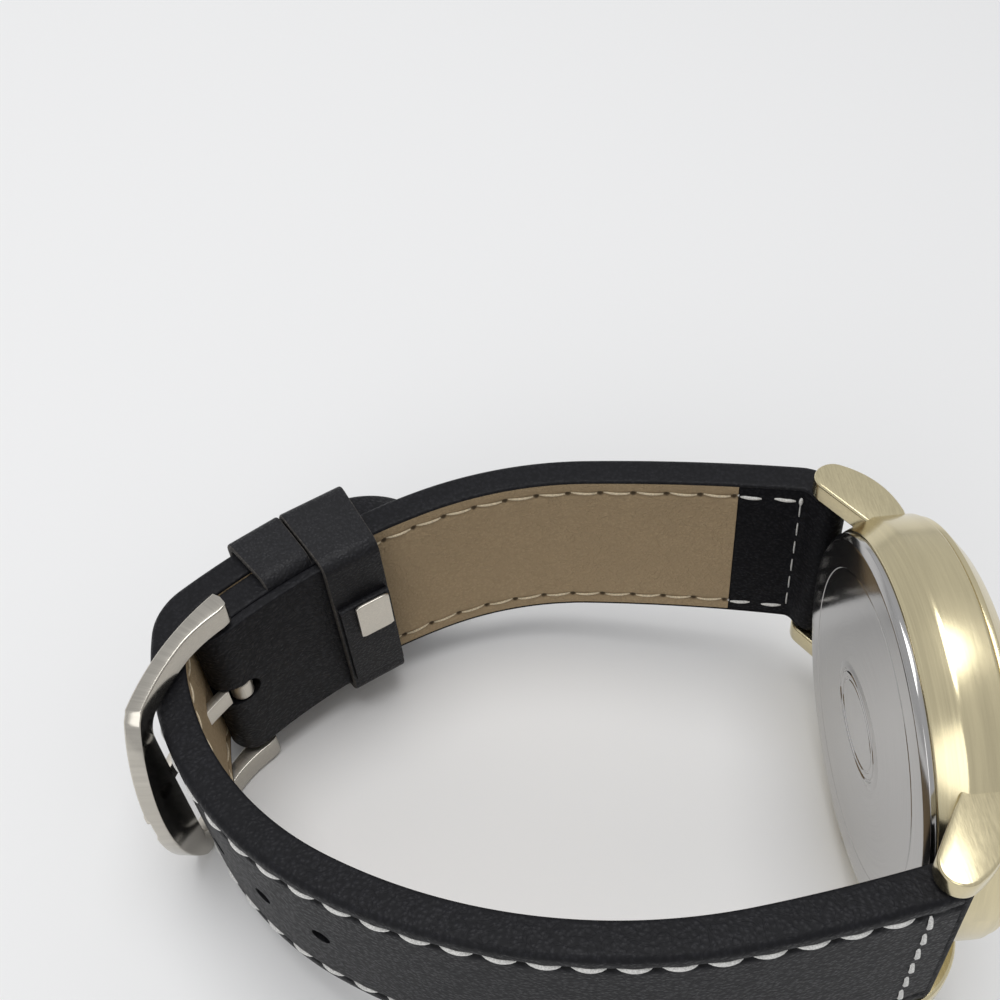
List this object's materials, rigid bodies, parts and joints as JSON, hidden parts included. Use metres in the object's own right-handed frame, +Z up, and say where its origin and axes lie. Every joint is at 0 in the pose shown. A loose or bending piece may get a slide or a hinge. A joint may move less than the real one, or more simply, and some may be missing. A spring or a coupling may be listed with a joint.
{
  "type": "wristwatch",
  "caption": "Round wristwatch on a buckled padded leather strap, lying on its crown side, with a polished case back, pin buckle, keepers, spring bars, hands and a quartz movement inside.",
  "frame": {"origin": "centre of the bounding box on the surface that the watch rests on", "axes": "+X from the buckle to the dial side (longest extent), +Y roughly to 12 o'clock, +Z up (shortest extent); the watch rests on the crown and on the lower arm of its buckle frame, with its head raised by about 8 degrees and rolled by about 5 degrees"},
  "size_m": [0.0824, 0.0582, 0.0443],
  "materials": {
    "gold": "pale gold, polished",
    "steel": "brushed and polished steel",
    "brass": "plain",
    "dial_black": "satin black",
    "plastic": "moulded",
    "board": "printed circuit board",
    "wire": "enamelled copper wire",
    "seal": "soft",
    "crystal": "polished mineral glass",
    "black_leather": "fine grained black leather",
    "lining_leather": "taupe lining leather with a pebbled grain",
    "padding": "fibre padding"
  },
  "bodies": {
    "watch": {"case_body": "gold", "case_back": "steel", "case_back_gasket": "seal", "bezel": "gold", "crystal": "crystal", "crystal_gasket": "seal", "dial_ring": "dial_black", "dial": "dial_black", "hour_markers": "gold", "movement_holder": "plastic", "main_plate": "steel", "train_bridge": "steel", "bridge_screws": "steel", "battery": "steel", "battery_clamp": "steel", "circuit_board": "board", "quartz_can": "steel", "coil": "wire", "stator": "steel", "crown_tube": "steel", "short_strap_leather": "black_leather", "short_strap_core": "padding", "short_strap_lining": "lining_leather", "short_lug_tab": "black_leather", "buckle_fold": "black_leather", "long_strap_leather": "black_leather", "long_strap_core": "padding", "long_strap_lining": "lining_leather", "long_lug_tab": "black_leather", "fixed_keeper": "black_leather", "short_bar_tube": "steel", "long_bar_tube": "steel", "buckle_bar_tube": "steel", "bar_springs": "steel"},
    "seconds_group": {"seconds_wheel": "brass", "second_hand": "gold"},
    "third_group": {"third_wheel": "brass"},
    "minute_group": {"centre_wheel": "brass", "minute_hand": "gold"},
    "motion_group": {"minute_wheel": "brass"},
    "hour_group": {"hour_wheel": "brass", "hour_hand": "gold"},
    "intermediate_group": {"intermediate_wheel": "brass"},
    "rotor_group": {"rotor": "steel"},
    "setting_group": {"setting_lever": "steel"},
    "crown_group": {"crown": "gold", "stem": "steel", "crown_gasket": "seal"},
    "floating_keeper_group": {"floating_keeper": "black_leather", "keeper_clip": "steel"},
    "buckle_group": {"buckle_frame": "steel"},
    "tongue_group": {"buckle_tongue": "steel"},
    "short_pin_a": {"short_bar_pin_a": "steel"},
    "short_pin_b": {"short_bar_pin_b": "steel"},
    "long_pin_a": {"long_bar_pin_a": "steel"},
    "long_pin_b": {"long_bar_pin_b": "steel"},
    "buckle_pin_a": {"buckle_bar_pin_a": "steel"},
    "buckle_pin_b": {"buckle_bar_pin_b": "steel"}
  },
  "joints": [
    {"name": "second_turn", "type": "hinge", "parent": "watch", "child": "seconds_group", "pos_m": [0.03427, -0.00233, 0.02368], "axis": [0.9908, 0.0107, 0.1349], "continuous": true},
    {"name": "third_turn", "type": "hinge", "parent": "watch", "child": "third_group", "pos_m": [0.03309, 0.0016, 0.02462], "axis": [0.9908, 0.0107, 0.1349], "continuous": true},
    {"name": "minute_turn", "type": "hinge", "parent": "watch", "child": "minute_group", "pos_m": [0.03427, -0.00233, 0.02368], "axis": [0.9908, 0.0107, 0.1349], "continuous": true},
    {"name": "minute_wheel_turn", "type": "hinge", "parent": "watch", "child": "motion_group", "pos_m": [0.03491, -0.00557, 0.02221], "axis": [0.9908, 0.0107, 0.1349], "continuous": true},
    {"name": "hour_turn", "type": "hinge", "parent": "watch", "child": "hour_group", "pos_m": [0.03427, -0.00233, 0.02368], "axis": [0.9908, 0.0107, 0.1349], "continuous": true},
    {"name": "intermediate_turn", "type": "hinge", "parent": "watch", "child": "intermediate_group", "pos_m": [0.03185, -0.00437, 0.02682], "axis": [0.9908, 0.0107, 0.1349], "continuous": true},
    {"name": "rotor_turn", "type": "hinge", "parent": "watch", "child": "rotor_group", "pos_m": [0.03155, -0.00574, 0.02913], "axis": [0.9908, 0.0107, 0.1349], "continuous": true},
    {"name": "crown_pull", "type": "slide", "parent": "watch", "child": "setting_group", "axis": [0.1353, -0.0785, -0.9877], "range_m": [0, 0.001]},
    {"name": "crown_turn", "type": "hinge", "parent": "setting_group", "child": "crown_group", "pos_m": [0.03616, -0.00406, 0.00181], "axis": [0.1353, -0.0785, -0.9877], "continuous": true},
    {"name": "floating_keeper_slide", "type": "hinge", "parent": "watch", "child": "floating_keeper_group", "pos_m": [0.00931, -0.03744, 0.02305], "axis": [-0.1353, 0.0785, 0.9877], "range_deg": [-6, 0]},
    {"name": "buckle_swing", "type": "hinge", "parent": "watch", "child": "buckle_group", "pos_m": [-0.03257, 0.00907, 0.01362], "axis": [-0.1353, 0.0785, 0.9877], "range_deg": [0, 4]},
    {"name": "tongue_lift", "type": "hinge", "parent": "watch", "child": "tongue_group", "pos_m": [-0.03257, 0.00907, 0.01362], "axis": [-0.1353, 0.0785, 0.9877], "range_deg": [-5, 0]},
    {"name": "short_pin_a_press", "type": "slide", "parent": "watch", "child": "short_pin_a", "axis": [0.1353, -0.0785, -0.9877], "range_m": [0, 0.0014], "stiffness_N_per_m": 400, "springref_m": -0.0006},
    {"name": "short_pin_b_press", "type": "slide", "parent": "watch", "child": "short_pin_b", "axis": [-0.1353, 0.0785, 0.9877], "range_m": [0, 0.0014], "stiffness_N_per_m": 400, "springref_m": -0.0006},
    {"name": "long_pin_a_press", "type": "slide", "parent": "watch", "child": "long_pin_a", "axis": [0.1353, -0.0785, -0.9877], "range_m": [0, 0.0014], "stiffness_N_per_m": 400, "springref_m": -0.0006},
    {"name": "long_pin_b_press", "type": "slide", "parent": "watch", "child": "long_pin_b", "axis": [-0.1353, 0.0785, 0.9877], "range_m": [0, 0.0014], "stiffness_N_per_m": 400, "springref_m": -0.0006},
    {"name": "buckle_pin_a_press", "type": "slide", "parent": "watch", "child": "buckle_pin_a", "axis": [0.1353, -0.0785, -0.9877], "range_m": [0, 0.0014], "stiffness_N_per_m": 400, "springref_m": -0.0006},
    {"name": "buckle_pin_b_press", "type": "slide", "parent": "watch", "child": "buckle_pin_b", "axis": [-0.1353, 0.0785, 0.9877], "range_m": [0, 0.0014], "stiffness_N_per_m": 400, "springref_m": -0.0006}
  ],
  "couplings": [
    {"joint": "third_turn", "follows": "second_turn", "ratio": -0.13333},
    {"joint": "minute_turn", "follows": "second_turn", "ratio": 0.016667},
    {"joint": "minute_wheel_turn", "follows": "second_turn", "ratio": -0.0055556},
    {"joint": "hour_turn", "follows": "second_turn", "ratio": 0.0013889},
    {"joint": "intermediate_turn", "follows": "second_turn", "ratio": -6},
    {"joint": "rotor_turn", "follows": "second_turn", "ratio": 30}
  ]
}
